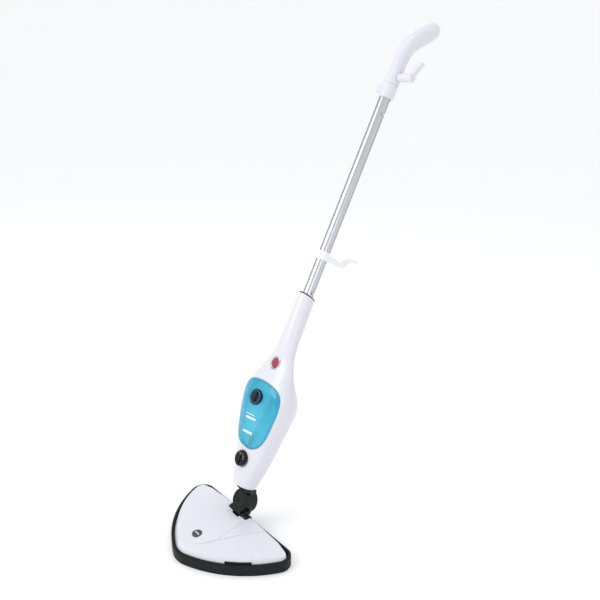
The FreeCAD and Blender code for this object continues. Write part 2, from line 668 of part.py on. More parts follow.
def make_front_casing():
    bay = OUTER_FRONT.common(tank_prism(2.6, TANK_BACK + 2.6))
    pillars, holes = bosses(OUTER_FRONT, 1.45)
    knob_w = dim("knob_w")
    seat = rod(20.5, 14.0, (0, front(-4.5), knob_w), "-v").common(OUTER_FRONT)
    cup = rod(dim("bezel_r") + 2.0, 30.0, (0, front(1.0), dim("switch_w")), "-v").common(OUTER_FRONT)
    solid = join([casing_half(OUTER_FRONT, 1), bay, seat, cup] + pillars)
    tools = holes + [
        tank_prism(0.4, TANK_BACK + 0.4),
        rod(17.0, 20.0, (0, front(-0.5), knob_w), "-v"),
        rod(4.4, 30.0, (0, front(-8.0), knob_w), "-v"),
        rod(dim("bezel_r") + 0.15, 30.0, (0, front(3.0), dim("switch_w")), "-v"),
        rod(2.6, 8.0, (0, TANK_BACK - 1.0, 134.0), "v"),
        rod(14.0, 30.0, (0, STEM_V, BODY_LOW - 10)),
        above_mouth(0),
    ]
    return solid.cut(tools)


def make_rear_casing():
    pillars, holes = bosses(OUTER_REAR, 1.75)
    holes += [rod(3.7, 60.0, (x, seam_v(w) + 7.0, w), "v") for x, w in CASING_SCREWS]
    gland_room = rod(7.1, 30.0, (0, -8.0, GLAND_W), "v")
    vents = [bar(-16, 16, -5, 40, w, w + 2.2) for w in (150.0, 156.0, 162.0, 168.0, 174.0)]
    tools = holes + vents + [gland_room, rod(14.0, 30.0, (0, STEM_V, BODY_LOW - 10)), above_mouth(0)]
    return join([casing_half(OUTER_REAR, -1)] + pillars).cut(tools)


GLAND_W = 212.0
wand_shape("front_casing", make_front_casing())
wand_shape("rear_casing", make_rear_casing())


# ---------------------------------------------------------------- tank and its fittings
def make_tank():
    outer = half_body(1.0, 1).common(tank_prism(0, TANK_BACK))
    hollow = half_body(-1.4, 1).common(tank_prism(-2.2, TANK_BACK - 2.0))
    cap_w = dim("cap_w")
    lip = rod(21.0, 4.6, (0, front(23.5), cap_w), "-v")
    lip = lip.makeChamfer(1.4, [e for e in lip.Edges if e.BoundBox.YMax < front(28.0)])
    lip = lip.cut(rod(12.0, 20.0, (0, front(15.0), cap_w), "-v"))
    spout = rod(3.2, 2.2, (0, TANK_BACK, 134.0), "-v")
    solid = outer.cut(hollow)
    tools = [rod(12.0, 20.0, (0, front(15.0), cap_w), "-v"), rod(1.6, 8.0, (0, TANK_BACK + 1.0, 134.0), "-v")]
    return join([solid, lip, spout.common(outer)]).cut(tools)


wand_shape("water_tank", make_tank())

CAP_V = front(28.7)
cap_parts = [
    cylinder("cap_disc", "cap_r", "3.6", (0, CAP_V, dim("cap_w")), "-v"),
    cylinder("cap_plug", "11.7", "7.0", (0, CAP_V + 7.0, dim("cap_w")), "-v"),
    block("cap_grip", "5.0", "3.0", "20.0", (-2.5, CAP_V - 5.6, dim("cap_w") - 10.0)),
]
cap_body = fuse("cap_body", cap_parts)
cap_dish_tool = cylinder("cap_hollow", "9.0", "8.0", (0, CAP_V + 7.5, dim("cap_w")), "-v")
wand_node(cut("cap_hollowed", cap_body, cap_dish_tool), "tank_cap")


FILTER_V = front(1.2)


def make_filter():
    """Weighted strainer at the foot of the pick-up tube."""
    body = rod(4.0, 13.0, (0, FILTER_V, 125.0))
    tip = Part.makeCone(4.0, 3.2, 2.5, V3(0, FILTER_V, 138.0), V3(0, 0, 1))
    bore = rod(1.4, 9.0, (0, FILTER_V, 132.0))
    return join([body, tip]).cut(bore)


wand_shape("tank_filter", make_filter())
PICKUP_PATH = [(0, FILTER_V, 141.0), (4.0, front(2.6), 161.0), (10.0, front(5.0), 188.0),
               (8.0, front(7.0), 206.0)]
wand_shape("pickup_tube", sweep(PICKUP_PATH, 1.8).cut(sweep(PICKUP_PATH, 1.0)))

# ---------------------------------------------------------------- knob and steam valve
KNOB_V = front(4.2)


def make_knob():
    r = dim("knob_r")
    disc = rod(r, 7.6, (0, KNOB_V, dim("knob_w")), "-v")
    disc = disc.makeChamfer(1.5, [e for e in disc.Edges if e.BoundBox.YMax < KNOB_V - 7])
    grip = bar(-3.0, 3.0, KNOB_V - 9.6, KNOB_V - 7.0, dim("knob_w") - 12.0, dim("knob_w") + 12.0)
    flutes = []
    for step in range(16):
        turn = 2 * math.pi * step / 16
        flutes.append(rod(1.1, 5.4, (r * math.cos(turn), KNOB_V - 3.4, dim("knob_w") + r * math.sin(turn)), "-v"))
    shaft = rod(4.1, 19.0, (0, KNOB_V + 18.8, dim("knob_w")), "-v")
    return join([disc.cut(flutes), grip, shaft])


wand_shape("steam_knob", make_knob())


def make_valve():
    """Brass valve block turned by the knob's shaft."""
    w = dim("knob_w")
    body = bar(-10, 10, -24.0, -10.0, w - 10, w + 10)
    outlet = rod(4.5, 5.0, (0, -16.0, w - 15.0))
    inlet = rod(4.5, 5.0, (0, -16.0, w + 10.0))
    room = rod(4.45, 8.0, (0, -25.0, w), "v")
    way = rod(1.8, 40.0, (0, -14.0, w - 20.0))
    return join([body, outlet, inlet]).cut([room, way])


wand_shape("steam_valve", make_valve())

# ---------------------------------------------------------------- boiler, pump, hoses, board
BOILER = (-18.0, -10.5)
PUMP = (21.0, -10.5)


def make_boiler():
    x, v = BOILER
    body = rod(16.0, 78.0, (x, v, 122.0))
    body = body.makeFillet(5.0, [e for e in body.Edges if e.Curve.TypeId == "Part::GeomCircle"])
    cavity = rod(13.5, 70.0, (x, v, 126.0))
    low = rod(3.5, 6.0, (x, v, 117.0))
    high = rod(3.5, 6.0, (x, v, 199.0))
    ports = rod(1.6, 100.0, (x, v, 115.0))
    return join([body, low, high]).cut([cavity, ports])


wand_shape("boiler", make_boiler())


def make_heater():
    """Coiled element lining the boiler."""
    x, v = BOILER
    rings = [Part.makeTorus(10.6, 1.8, V3(x, v, 134.0 + 8.0 * i), V3(0, 0, 1)) for i in range(7)]
    spine = rod(1.5, 48.0, (x + 10.6, v, 134.0))
    return join(rings + [spine])


wand_shape("heater_coil", make_heater())
thermostat_disc = cylinder("thermostat_disc", "7.0", "6.0", (BOILER[0] - 8.0, BOILER[1] + 0.0, 200.6))
thermostat_stud = cylinder("thermostat_stud", "2.0", "4.0", (BOILER[0] - 8.0, BOILER[1], 206.0))
thermostat_core = fuse("thermostat_core", [thermostat_disc, thermostat_stud])
thermostat_slot = cylinder("thermostat_slot", "3.8", "12.0", (BOILER[0], BOILER[1], 200.0))
wand_node(cut("thermostat_body", thermostat_core, thermostat_slot), "thermostat")


def make_pump():
    x, v = PUMP
    body = rod(12.0, 46.0, (x, v, 132.0))
    flange = bar(x - 13, x + 13, v - 13, v + 13, 150.0, 158.0)
    low = rod(3.0, 8.0, (x, v, 125.0))
    high = rod(3.0, 8.0, (x, v, 177.0))
    return join([body, flange, low, high]).cut(rod(1.4, 70.0, (x, v, 120.0)))


wand_shape("water_pump", make_pump())


def hose(points, outer, inner):
    return sweep(points, outer).cut(sweep(points, inner))


wand_shape("supply_hose", hose([(0, TANK_BACK + 3.2, 134.0), (0, -24.0, 133.0), (10.0, -17.0, 124.0),
                                (19.0, -12.0, 117.5), (PUMP[0], PUMP[1], 124.0)], 2.4, 1.4))
wand_shape("pressure_hose", hose([(PUMP[0], PUMP[1], 186.0), (14.0, -8.0, 203.0), (0.0, -8.0, 211.0),
                                  (-14.0, -8.0, 212.0), (BOILER[0], BOILER[1], 206.0)], 2.2, 1.2))
wand_shape("steam_hose", hose([(BOILER[0], BOILER[1], 116.0), (-14.0, -10.0, 111.0), (-6.0, -13.5, 113.5),
                               (0.0, -16.0, 111.8)], 2.4, 1.4))
wand_shape("outlet_hose", hose([(0.0, -16.0, 78.5), (0.0, -14.0, 73.0), (0.0, -8.0, 68.0),
                                (0.0, STEM_V, 62.6)], 3.2, 1.8))


def make_board():
    plate = bar(-30, 30, -13.0, -11.4, 219.0, 251.0)
    chips = [bar(-24, -10, -20.0, -13.0, 226.0, 240.0), bar(-4, 8, -17.0, -13.0, 224.0, 234.0),
             bar(12, 22, -20.0, -13.0, 232.0, 246.0)]
    holes = [rod(1.6, 6.0, (x, -14.0, w), "v") for x in (-27.0, 27.0) for w in (222.5, 247.5)]
    return join([plate] + chips).cut(holes)


wand_shape("control_board", make_board())

# ---------------------------------------------------------------- power button
SWITCH_W = dim("switch_w")
bezel_outer = cylinder("bezel_outer", "bezel_r", "13.0", (0, front(3.6), SWITCH_W), "-v")
bezel_inner = cylinder("bezel_inner", "button_r + 0.35", "11.0", (0, front(6.2), SWITCH_W), "-v")
bezel_ring = cut("bezel_ring", bezel_outer, bezel_inner)
bezel_chamfer = doc.addObject("Part::Chamfer", "bezel_chamfer")
bezel_chamfer.Base = bezel_ring
doc.recompute()
RIM = [i + 1 for i, e in enumerate(bezel_ring.Shape.Edges) if e.BoundBox.YMax < front(16.5)]
bezel_chamfer.Edges = [(i, 1.2, 1.2) for i in RIM]
wand_node(bezel_chamfer, "switch_bezel")


def make_button():
    r = dim("button_r")
    body = rod(r, 5.4, (0, front(10.6), SWITCH_W), "-v")
    body = body.makeFillet(1.6, [e for e in body.Edges if e.BoundBox.YMax < front(15.9)])
    stem = rod(3.0, 1.6, (0, front(9.2), SWITCH_W), "-v")
    return join([body, stem])


wand_shape("power_button", make_button())
wand_shape("button_spring", ring(5.2, 4.4, 1.3, (0, front(6.2), SWITCH_W), "-v"))

# ---------------------------------------------------------------- cord inlet, mouth ring, tube
gland_body = cylinder("gland_body", "7.0", "13.5", (0, 0.0, GLAND_W), "v")
gland_lip = cylinder("gland_lip", "9.5", "2.6", (0, 12.8, GLAND_W), "v")
gland_solid = fuse("gland_solid", [gland_body, gland_lip])
gland_bore = cylinder("gland_bore", "3.6", "18.0", (0, -1.0, GLAND_W), "v")
wand_node(cut("gland_tube", gland_solid, gland_bore), "cord_inlet")


def make_mouth_ring():
    band = ring(17.9, dim("tube_r") + 0.1, 60.0, (0, dim("tube_v"), dim("mouth_w") - 30))
    return band.common(above_mouth(0.1)).cut(above_mouth(2.4))


wand_shape("mouth_ring", make_mouth_ring())


def make_socket():
    """Sleeve that grips the tube inside the neck."""
    sleeve = ring(12.2, dim("tube_r") + 0.1, 95.6, (0, dim("tube_v"), 337.4))
    stop = ring(12.2, 8.5, 3.0, (0, dim("tube_v"), 334.5))
    return join([sleeve, stop])


wand_shape("tube_socket", make_socket())


def make_tube():
    height = dim("tube_high") - dim("tube_low")
    wall = ring(dim("tube_r"), dim("tube_r") - dim("tube_wall"), height, (0, dim("tube_v"), dim("tube_low")))
    holes = [rod(dim("snap_r") + 0.3, 20.0, (0, dim("tube_v"), w), "x")
             for w in (dim("snap_low_w"), dim("snap_high_w"))]
    holes.append(rod(2.4, 20.0, (0, dim("tube_v"), dim("tab_w")), "-x"))
    return wall.cut(holes)


wand_shape("tube", make_tube())


def make_snap(w):
    r = dim("snap_r")
    pin = rod(r, 6.6, (6.6, dim("tube_v"), w), "x")
    pin = pin.makeFillet(0.9, [e for e in pin.Edges if e.BoundBox.XMin > 13.0])
    foot = rod(r + 1.2, 1.4, (6.0, dim("tube_v"), w), "x")
    return join([pin, foot])


def make_leaf(w):
    """Spring strip bent into a V inside the tube."""
    tv = dim("tube_v")
    strip = [(-8.6, w - 22), (-7.9, w - 22), (3.2, w + 6.0), (3.2, w + 7.2), (2.2, w + 7.2)]
    corners = [V3(x, tv - 3.0, z) for x, z in strip]
    return prism(Part.makePolygon(corners + corners[:1]), V3(0, 6.0, 0))


wand_shape("snap_low", make_snap(dim("snap_low_w")))
wand_shape("snap_high", make_snap(dim("snap_high_w")))
wand_shape("snap_leaves", Part.makeCompound([make_leaf(dim("snap_low_w")), make_leaf(dim("snap_high_w"))]))


# ---------------------------------------------------------------- lower cord clip
def make_clip():
    """Sleeve on the tube with a rearward arm ending in an upturned lip."""
    w = dim("clip_w")
    sleeve = ring(13.2, dim("tube_r") + 0.06, 17.0, (0, dim("tube_v"), w - 8.0))
    top = front(-11.6)
    arm = [(top, w - 7.0), (front(-58), w - 7.5), (front(-64), w - 4.0), (front(-70), w + 6.0),
           (front(-80), w + 12.5), (front(-93), w + 15.0), (front(-94), w + 20.0), (front(-78), w + 18.5),
           (front(-66), w + 12.0), (front(-59), w + 3.0), (front(-54), w + 2.0), (top, w + 5.5)]
    corners = [V3(-6.5, v, z) for v, z in arm]
    blade = prism(Part.makePolygon(corners + corners[:1]), V3(13.0, 0, 0))
    trough = bar(-4.2, 4.2, front(-56), front(-14), w - 3.5, w + 20)
    bore = rod(dim("tube_r") + 0.06, 40.0, (0, dim("tube_v"), w - 20.0))
    return join([sleeve, blade.cut(trough)]).cut(bore)


wand_shape("cord_clip", make_clip())

# ---------------------------------------------------------------- handle
HANDLE_SHIFT = -2.0


def make_collar():
    r = dim("handle_r") + 0.2
    low = dim("collar_low")
    mid = front(HANDLE_SHIFT)
    body = rod(r, dim("collar_high") - low, (0, mid, low))
    body = body.makeChamfer(2.4, [e for e in body.Edges if e.BoundBox.ZMax < low + 0.1])
    bore = rod(dim("tube_r") + 0.08, 60.0, (0, dim("tube_v"), low - 10))
    slot = bar(-30, -10, front(2.4), front(-6.4), dim("tab_w") - 7.9, dim("tab_w") + 7.9)
    return body.cut([bore, slot])


wand_shape("handle_collar", make_collar())

# reach in front of the tube axis, height, bend from the pole, half width, half depth
GRIP = [
    (-2.0, 897.0, 0.0, 15.4, 15.4), (-2.0, 925.0, 0.0, 15.4, 15.4), (-2.2, 950.0, 2.0, 15.4, 15.8),
    (-6.5, 975.0, 18.0, 15.6, 16.8), (-18.5, 998.0, 34.0, 15.8, 17.6), (-34.0, 1017.0, 40.0, 16.0, 17.8),
    (-50.0, 1035.5, 41.0, 16.2, 17.8), (-60.0, 1047.0, 42.0, 14.6, 15.6), (-66.0, 1053.5, 43.0, 10.5, 11.5),
]


def grip_solid(shrink):
    wires = []
    for index, (ahead, w, bend, half, deep) in enumerate(GRIP):
        lift = -shrink if index == 0 else 0.0
        angle = math.radians(bend)
        points = []
        for step in range(20):
            turn = 2 * math.pi * step / 20
            x = (half - shrink) * math.cos(turn)
            across = (deep - shrink) * math.sin(turn)
            points.append((x, front(ahead) + across * math.cos(angle), w + lift - across * math.sin(angle)))
        wires.append(spline_wire(points))
    return Part.makeLoft(wires[:-1] if shrink else wires, True, False)


HANDLE_SCREWS = [(front(-2.0), 938.0), (front(-24.0), 1003.0), (front(-52.0), 1036.0)]


def make_handle(side):
    """One half of the handle; side is +1 for right, -1 for left."""
    outer = grip_solid(0)
    end = outer.BoundBox.ZMax
    outer = outer.makeFillet(7.0, [e for e in outer.Edges if e.BoundBox.ZMin > end - 22.0
                                   and e.BoundBox.XLength > 15.0 and e.BoundBox.YLength < 20.0][:1])
    hollow = grip_solid(2.4)
    solid = outer.cut(hollow)
    pillars = [rod(4.2, 60.0, (-30.0, v, w), "x").common(outer) for v, w in HANDLE_SCREWS]
    solid = join([solid] + pillars)
    grooves = []
    for step in range(5):
        along = 12.0 + 10.5 * step
        v = front(-30.0) + 13.0 + along * math.sin(math.radians(40.0))
        w = 981.0 - 11.0 + along * math.cos(math.radians(40.0))
        grooves.append(rod(4.0, 60.0, (-30.0, v, w), "x"))
    half = bar(0.1, 40, -120, 120, 880, 1100) if side > 0 else bar(-40, -0.1, -120, 120, 880, 1100)
    solid = solid.cut(grooves).common(half)
    if side > 0:
        holes = [rod(1.35, 12.0, (-1.0, v, w), "x") for v, w in HANDLE_SCREWS]
        holes.append(rod(3.15, 40.0, (0, front(HANDLE_SHIFT), dim("hook_w") + 8.0), "x"))
    else:
        holes = [rod(3.2, 40.0, (-9.0, v, w), "-x") for v, w in HANDLE_SCREWS]
        holes += [rod(1.6, 40.0, (0.0, v, w), "-x") for v, w in HANDLE_SCREWS]
    holes.append(rod(dim("tube_r") + 0.12, 60.0, (0, dim("tube_v"), 870.0)))
    return solid.cut(holes)


wand_shape("handle_right", make_handle(1))
wand_shape("handle_left", make_handle(-1))

grip_screws = []
for number, (gv, gw) in enumerate(HANDLE_SCREWS):
    grip_head = cylinder("grip_screw_cap_%d" % number, "3.0", "2.0", (-9.2, gv, gw), "-x")
    grip_shank = cylinder("grip_screw_shank_%d" % number, "1.3", "19.0", (-9.5, gv, gw), "x")
    grip_screws.append(fuse("grip_screw_%d" % number, [grip_head, grip_shank]))
wand_node(group("grip_screw_set", grip_screws), "handle_screws")

body_screws = []
for number, (bx, bw) in enumerate(CASING_SCREWS):
    seam = seam_v(bw)
    body_head = cylinder("body_screw_cap_%d" % number, "3.4", "2.2", (bx, seam + 7.05, bw), "v")
    body_shank = cylinder("body_screw_shank_%d" % number, "1.4", "12.4", (bx, seam - 5.2, bw), "v")
    body_screws.append(fuse("body_screw_%d" % number, [body_head, body_shank]))
wand_node(group("body_screw_set", body_screws), "casing_screws")

# ---------------------------------------------------------------- upper cord hook
HOOK_W = dim("hook_w") + 8.0
HOOK_V = front(HANDLE_SHIFT)
HOOK_X0 = 16.2


def make_hook():
    """Turning boss on the right of the handle with a curved lever."""
    boss = rod(dim("hook_r"), 34.0, (HOOK_X0, HOOK_V, HOOK_W), "x")
    boss = boss.makeFillet(1.2, [e for e in boss.Edges if e.BoundBox.XMin > HOOK_X0 + 30])
    blade = [(40.0, 0.0), (50.2, -4.0), (51.4, 6.0), (56.0, 17.0), (63.0, 28.0), (62.5, 32.0), (58.0, 33.0),
             (51.0, 27.0), (45.0, 17.5), (42.0, 7.0)]
    corners = [V3(x, HOOK_V - 4.5, HOOK_W + w) for x, w in blade]
    lever = prism(Part.makePolygon(corners + corners[:1]), V3(0, 9.0, 0))
    upright = [e for e in lever.Edges if e.BoundBox.YLength > 8.0]
    lever = lever.makeFillet(1.6, [e for e in upright if e.BoundBox.ZMin > HOOK_W + 26])
    room = rod(3.2, 26.0, (HOOK_X0 - 1, HOOK_V, HOOK_W), "x")
    return join([boss, lever]).cut(room)


wand_shape("cord_hook", make_hook())

pivot_rod = cylinder("pivot_rod", "3.1", "28.6", (12.0, HOOK_V, HOOK_W), "x")
pivot_washer = cylinder("pivot_washer", "3.9", "0.9", (11.25, HOOK_V, HOOK_W), "x")
wand_node(fuse("pivot_body", [pivot_rod, pivot_washer]), "hook_pivot")

# ---------------------------------------------------------------- side release tab
TAB_W = dim("tab_w")


def make_tab():
    plate = bar(-33.0, -15.2, front(2.0), front(-6.0), TAB_W - 7.5, TAB_W + 7.5)
    upright = [e for e in plate.Edges if e.BoundBox.YLength > 7.0 and e.BoundBox.XMax < -30]
    plate = plate.makeFillet(1.5, upright)
    latch = rod(2.0, 7.0, (-16.0, dim("tube_v"), TAB_W), "x")
    return join([plate, latch])


wand_shape("release_tab", make_tab())

# ---------------------------------------------------------------- checks and export
doc.recompute()
os.makedirs("parts", exist_ok=True)
for node in NODES:
    if "Invalid" in node.State or "Error" in node.State:
        raise RuntimeError("bad state: " + node.Label)
    shape = node.Shape
    if shape.isNull() or not shape.isValid():
        raise RuntimeError("bad shape: " + node.Label)
    shape.exportStep("parts/%s.step" % node.Label)
    box = shape.optimalBoundingBox()
    print("%-20s solids %d vol %.0f  x %.1f..%.1f y %.1f..%.1f z %.1f..%.1f" % (
        node.Label, len(shape.Solids), shape.Volume, box.XMin, box.XMax, box.YMin, box.YMax, box.ZMin,
        box.ZMax))
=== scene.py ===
import json
import math

import bpy
from mathutils import Matrix, Vector
from mathutils.bvhtree import BVHTree


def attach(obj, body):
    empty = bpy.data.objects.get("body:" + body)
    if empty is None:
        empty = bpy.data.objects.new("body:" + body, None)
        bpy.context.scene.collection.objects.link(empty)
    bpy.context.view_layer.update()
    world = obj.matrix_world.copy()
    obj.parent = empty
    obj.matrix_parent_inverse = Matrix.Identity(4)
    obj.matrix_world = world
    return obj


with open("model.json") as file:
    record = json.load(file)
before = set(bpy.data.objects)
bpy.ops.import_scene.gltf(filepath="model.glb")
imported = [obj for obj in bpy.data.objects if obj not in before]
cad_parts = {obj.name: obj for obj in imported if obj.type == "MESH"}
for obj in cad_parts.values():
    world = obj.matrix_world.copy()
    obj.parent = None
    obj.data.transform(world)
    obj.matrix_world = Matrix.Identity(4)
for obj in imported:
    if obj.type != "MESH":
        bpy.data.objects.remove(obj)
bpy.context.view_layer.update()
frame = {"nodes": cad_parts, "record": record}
NODES = frame["nodes"]
MM = 0.001

# ---------------------------------------------------------------- the wand's own frame
LEAN = math.radians(27.8)
SWIVEL = Vector((0.0, 0.066, 0.062))
RIGHT = Vector((1.0, 0.0, 0.0))
BACK = Vector((0.0, math.cos(LEAN), -math.sin(LEAN)))
UP = Vector((0.0, math.sin(LEAN), math.cos(LEAN)))


def wand(x, v, w):
    """Point in metres from wand coordinates in millimetres: right, back, up the pole."""
    return SWIVEL + RIGHT * (x * MM) + BACK * (v * MM) + UP * (w * MM)


# ---------------------------------------------------------------- materials
PATCH_SCALE = 28.0
COAT_ROUGHNESS = 0.08
GRAIN_DEPTH = 0.2 * MM
BASE_IN, TINT_IN, COLOUR_OUT = 6, 7, 2


def node(tree, kind, **values):
    """New node: names with a leading underscore are settings, the rest are input sockets."""
    made = tree.nodes.new(kind)
    for key, value in values.items():
        if key.startswith("_"):
            setattr(made, key[1:], value)
        else:
            made.inputs[key.replace("_", " ")].default_value = value
    return made


def plastic(name, colour, rough, grain=900.0, bump=0.05, tint=0.04, coat=0.0, metal=0.0, settings=None):
    """Moulded surface: base colour with faint variation, fine grain bump and uneven gloss."""
    material = bpy.data.materials.new(name)
    material.use_nodes = True
    tree = material.node_tree
    shader = tree.nodes["Principled BSDF"]
    shader.inputs["Metallic"].default_value = metal
    shader.inputs["Coat Weight"].default_value = coat
    shader.inputs["Coat Roughness"].default_value = COAT_ROUGHNESS
    place = node(tree, "ShaderNodeTexCoord")
    patch = node(tree, "ShaderNodeTexNoise", Scale=PATCH_SCALE, Detail=3.0)
    fine = node(tree, "ShaderNodeTexNoise", Scale=grain, Detail=2.0)
    tree.links.new(place.outputs["Object"], patch.inputs["Vector"])
    tree.links.new(place.outputs["Object"], fine.inputs["Vector"])
    ramp = node(tree, "ShaderNodeMapRange", To_Min=1.0 - tint, To_Max=1.0)
    tree.links.new(patch.outputs["Fac"], ramp.inputs["Value"])
    shade = node(tree, "ShaderNodeMix", _data_type="RGBA", _blend_type="MULTIPLY")
    shade.inputs["Factor"].default_value = 1.0
    shade.inputs[BASE_IN].default_value = (*colour, 1.0)
    tree.links.new(ramp.outputs["Result"], shade.inputs[TINT_IN])
    tree.links.new(shade.outputs[COLOUR_OUT], shader.inputs["Base Color"])
    gloss = node(tree, "ShaderNodeMapRange", To_Min=rough * 0.85, To_Max=rough * 1.15)
    tree.links.new(patch.outputs["Fac"], gloss.inputs["Value"])
    tree.links.new(gloss.outputs["Result"], shader.inputs["Roughness"])
    relief = node(tree, "ShaderNodeBump", Strength=bump, Distance=GRAIN_DEPTH)
    tree.links.new(fine.outputs["Fac"], relief.inputs["Height"])
    tree.links.new(relief.outputs["Normal"], shader.inputs["Normal"])
    for key, value in (settings or {}).items():
        shader.inputs[key].default_value = value
    return material


def brushed(name, colour, rough, along=(0.0, 0.0, 0.0), stretch=60.0, bump=0.06):
    """Metal drawn in one direction: noise stretched along that axis."""
    material = plastic(name, colour, rough, bump=bump, tint=0.05, metal=1.0)
    tree = material.node_tree
    place = tree.nodes["Texture Coordinate"]
    turn = node(tree, "ShaderNodeMapping")
    turn.inputs["Rotation"].default_value = along
    turn.inputs["Scale"].default_value = (stretch, stretch, 1.0)
    streaks = node(tree, "ShaderNodeTexNoise", Scale=40.0, Detail=4.0)
    tree.links.new(place.outputs["Object"], turn.inputs["Vector"])
    tree.links.new(turn.outputs["Vector"], streaks.inputs["Vector"])
    relief = tree.nodes["Bump"]
    tree.links.new(streaks.outputs["Fac"], relief.inputs["Height"])
    return material


SOLID_FADE = 2.0 * MM


def tinted_clear(name, colour, see_through, edge, solid_from=None):
    """Clear tinted plastic: more solid at a slant and, if asked, behind a depth in the wand's frame."""
    material = plastic(name, colour, 0.08, grain=300.0, bump=0.02, tint=0.05, coat=0.6)
    tree = material.node_tree
    shader = tree.nodes["Principled BSDF"]
    slant = node(tree, "ShaderNodeLayerWeight", Blend=0.35)
    cover = node(tree, "ShaderNodeMapRange", To_Min=see_through, To_Max=edge)
    tree.links.new(slant.outputs["Facing"], cover.inputs["Value"])
    alpha = cover.outputs["Result"]
    if solid_from is not None:
        depth = node(tree, "ShaderNodeVectorMath", _operation="DOT_PRODUCT")
        tree.links.new(tree.nodes["Texture Coordinate"].outputs["Object"], depth.inputs[0])
        depth.inputs[1].default_value = BACK
        start = SWIVEL.dot(BACK) + solid_from * MM
        behind = node(tree, "ShaderNodeMapRange", From_Min=start, From_Max=start + SOLID_FADE)
        tree.links.new(depth.outputs["Value"], behind.inputs["Value"])
        either = node(tree, "ShaderNodeMath", _operation="MAXIMUM")
        tree.links.new(alpha, either.inputs[0])
        tree.links.new(behind.outputs["Result"], either.inputs[1])
        alpha = either.outputs["Value"]
    tree.links.new(alpha, shader.inputs["Alpha"])
    material.surface_render_method = "BLENDED"
    return material


# Normal directions over which the painted highlight on the tank's left side fades out.
LEFT_FACING, FRONT_FACING = -0.42, -0.12


def painted_lit_side(material, left, rest):
    """Painted highlight: brighter colour where the surface faces left, standing in for the lit side wall of
    the tank.
    """
    tree = material.node_tree
    place = tree.nodes["Texture Coordinate"]
    split = node(tree, "ShaderNodeSeparateXYZ")
    tree.links.new(place.outputs["Normal"], split.inputs["Vector"])
    turn = node(tree, "ShaderNodeMapRange", From_Min=LEFT_FACING, From_Max=FRONT_FACING)
    tree.links.new(split.outputs["X"], turn.inputs["Value"])
    blend = node(tree, "ShaderNodeMix", _data_type="RGBA")
    blend.inputs[BASE_IN].default_value = (*left, 1.0)
    blend.inputs[TINT_IN].default_value = (*rest, 1.0)
    tree.links.new(turn.outputs["Result"], blend.inputs["Factor"])
    shade = next(n for n in tree.nodes if n.type == "MIX" and n.blend_type == "MULTIPLY")
    tree.links.new(blend.outputs[COLOUR_OUT], shade.inputs[BASE_IN])
    return material


def hook_fabric(name, colour):
    """Short stiff pile of small hooks."""
    material = plastic(name, colour, 0.9, grain=1400.0, bump=0.9, tint=0.35)
    tree = material.node_tree
    cells = node(tree, "ShaderNodeTexVoronoi", Scale=900.0)
    place = tree.nodes["Texture Coordinate"]
    tree.links.new(place.outputs["Object"], cells.inputs["Vector"])
    tree.links.new(cells.outputs["Distance"], tree.nodes["Bump"].inputs["Height"])
    return material


WHITE = plastic("casing_white", (0.70, 0.70, 0.76), 0.30, bump=0.03, tint=0.02, coat=0.25)
COVER = plastic("cover_white", (0.72, 0.74, 0.79), 0.26, bump=0.03, tint=0.02, coat=0.3)
CLIP = plastic("clip_white", (0.84, 0.84, 0.87), 0.32, bump=0.03, tint=0.02, coat=0.2)
DULL = {"Specular IOR Level": 0.13}
BLACK = plastic("black_plastic", (0.013, 0.015, 0.018), 0.38, bump=0.10, tint=0.15, settings=DULL)
TRAY = plastic("tray_black", (0.012, 0.013, 0.016), 0.50, grain=700.0, bump=0.22, tint=0.15, settings=DULL)
GLOSS_BLACK = plastic("gloss_black", (0.007, 0.008, 0.010), 0.18, bump=0.06, tint=0.12, coat=0.16,
                      settings={"Specular IOR Level": 0.16})
# Lighter navy for the ring on the cap: a painted highlight.
CAP_HIGHLIGHT = plastic("cap_highlight_navy", (0.05, 0.08, 0.14), 0.2, bump=0.03, tint=0.08, coat=0.5)
SEAL = plastic("seal_rubber", (0.02, 0.02, 0.021), 0.7, bump=0.2, tint=0.2)
NAVY = plastic("cap_navy", (0.004, 0.016, 0.045), 0.30, bump=0.05, tint=0.12, coat=0.12,
               settings={"Specular IOR Level": 0.2})
GREY = plastic("badge_grey", (0.055, 0.062, 0.068), 0.35, bump=0.05, tint=0.1)
LIGHT = plastic("badge_light", (0.80, 0.82, 0.84), 0.3, bump=0.02, tint=0.02)
WASHER = plastic("washer_white", (0.75, 0.75, 0.72), 0.5, bump=0.05, tint=0.04)
RED = plastic("button_red", (0.36, 0.018, 0.060), 0.16, bump=0.02, tint=0.2, coat=0.4,
              settings={"Emission Color": (0.9, 0.03, 0.08, 1.0), "Emission Strength": 0.04})
# The tank's colour is painted lighter where it faces left: a painted highlight on its lit side wall.
TANK = painted_lit_side(tinted_clear("tank_blue", (0.06, 0.60, 0.82), 0.13, 0.80, solid_from=-36.0),
                 (0.006, 0.44, 0.88), (0.060, 0.62, 0.82))
# Darker blue for painted shade lines on the clear tank.
EDGE_SHADE_BLUE = plastic("tank_edge_shade", (0.02, 0.33, 0.60), 0.12, bump=0.02, tint=0.05, coat=0.5)
HOSE = plastic("hose_silicone", (0.70, 0.66, 0.60), 0.5, bump=0.1, tint=0.08)
CLEAR = tinted_clear("clear_hose", (0.55, 0.70, 0.72), 0.45, 0.85)
BOARD = plastic("board_green", (0.02, 0.14, 0.05), 0.45, grain=500.0, bump=0.3, tint=0.3)
FABRIC = hook_fabric("hook_fabric", (0.30, 0.30, 0.31))
STEEL = brushed("screw_steel", (0.55, 0.55, 0.56), 0.32)
SPRING = brushed("spring_steel", (0.62, 0.62, 0.64), 0.25)
TUBE = brushed("tube_metal", (0.60, 0.62, 0.64), 0.20, (LEAN, 0.0, 0.0))
